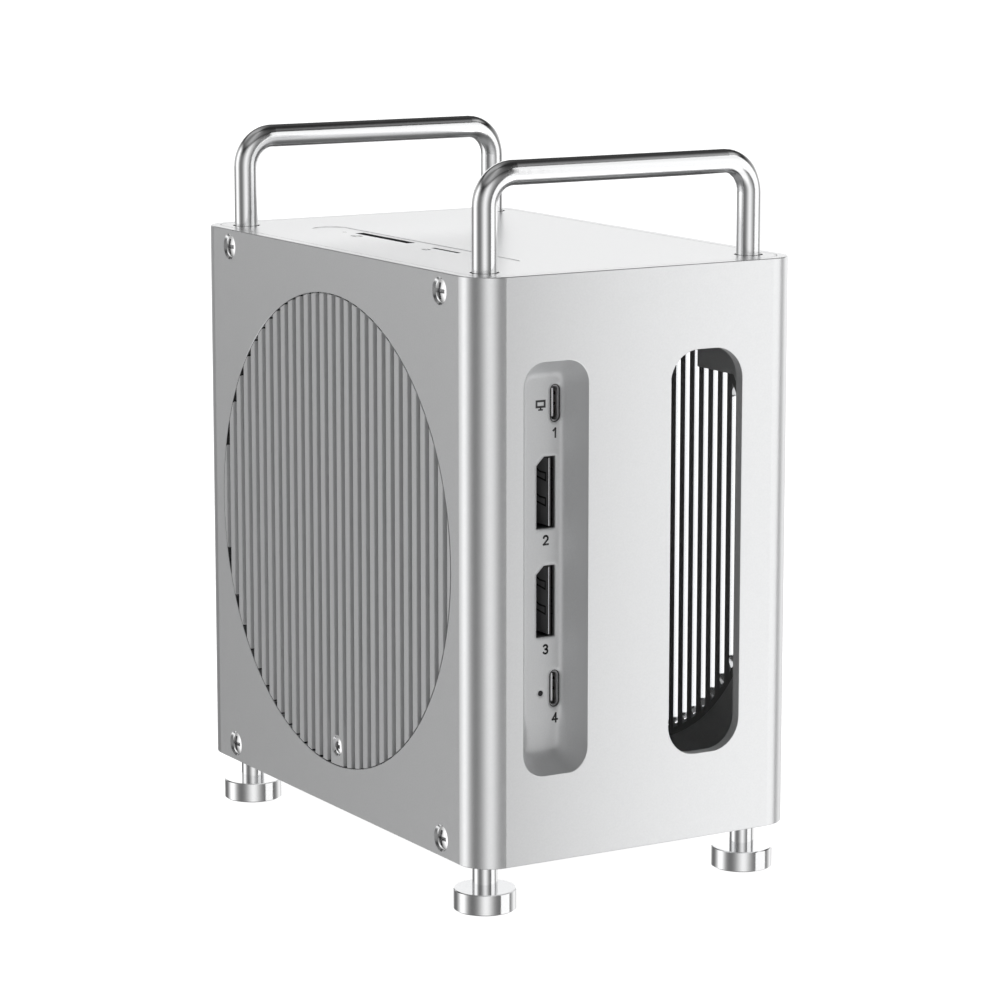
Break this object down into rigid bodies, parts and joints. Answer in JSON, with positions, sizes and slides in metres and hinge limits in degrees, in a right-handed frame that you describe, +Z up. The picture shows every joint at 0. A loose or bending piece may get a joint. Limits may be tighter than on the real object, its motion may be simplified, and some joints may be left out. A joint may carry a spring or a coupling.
{
  "type": "usb-c docking station",
  "caption": "Upright desktop docking station: a metal case on rod feet with bent-rod handles, round slatted side grilles, a sunk front port strip, an open vent slot and card slots in the lid.",
  "frame": {"origin": "under the middle of the case, on the surface that the foot pads stand on", "axes": "+Z up, -Y out of the port face, +X to the right when looking at the port face"},
  "size_m": [0.084, 0.132, 0.1655],
  "materials": {
    "case_metal": "fine satin anodised",
    "tray_metal": "matt blasted",
    "grille_metal": "fine satin anodised",
    "rod_metal": "polished",
    "foot_metal": "polished",
    "pad_rubber": "matt",
    "port_metal": "drawn sheet",
    "port_plastic": "moulded",
    "light_plastic": "smoked, clear moulded",
    "board_laminate": "solder-masked laminate",
    "chip_epoxy": "moulded",
    "thermal_rubber": "soft",
    "sink_metal": "extruded, plain",
    "screw_metal": "nickel plated"
  },
  "bodies": {
    "root": {"body_shell": "case_metal", "top_plate": "case_metal", "bottom_plate": "case_metal", "port_tray": "tray_metal", "left_grille": "grille_metal", "right_grille": "grille_metal", "front_handle": "rod_metal", "rear_handle": "rod_metal", "foot_front_left": "foot_metal", "foot_front_right": "foot_metal", "foot_rear_left": "foot_metal", "foot_rear_right": "foot_metal", "foot_pad_front_left": "pad_rubber", "foot_pad_front_right": "pad_rubber", "foot_pad_rear_left": "pad_rubber", "foot_pad_rear_right": "pad_rubber", "host_port_shell": "port_metal", "host_port_tongue": "port_plastic", "power_port_shell": "port_metal", "power_port_tongue": "port_plastic", "upper_display_shell": "port_metal", "upper_display_insert": "port_plastic", "lower_display_shell": "port_metal", "lower_display_insert": "port_plastic", "status_light_pipe": "light_plastic", "card_light_pipe": "light_plastic", "main_board": "board_laminate", "card_socket": "port_metal", "micro_card_socket": "port_metal", "controller_chip": "chip_epoxy", "thermal_pad": "thermal_rubber", "heat_sink": "sink_metal", "power_inductors": "chip_epoxy", "power_capacitors": "sink_metal", "display_chip": "chip_epoxy", "hub_chip": "chip_epoxy", "card_chip": "chip_epoxy", "heat_sink_screws": "screw_metal", "board_screws": "screw_metal", "rod_set_screws": "screw_metal", "left_shell_screws": "screw_metal", "right_shell_screws": "screw_metal", "left_grille_screw": "screw_metal", "right_grille_screw": "screw_metal"}
  },
  "joints": []
}
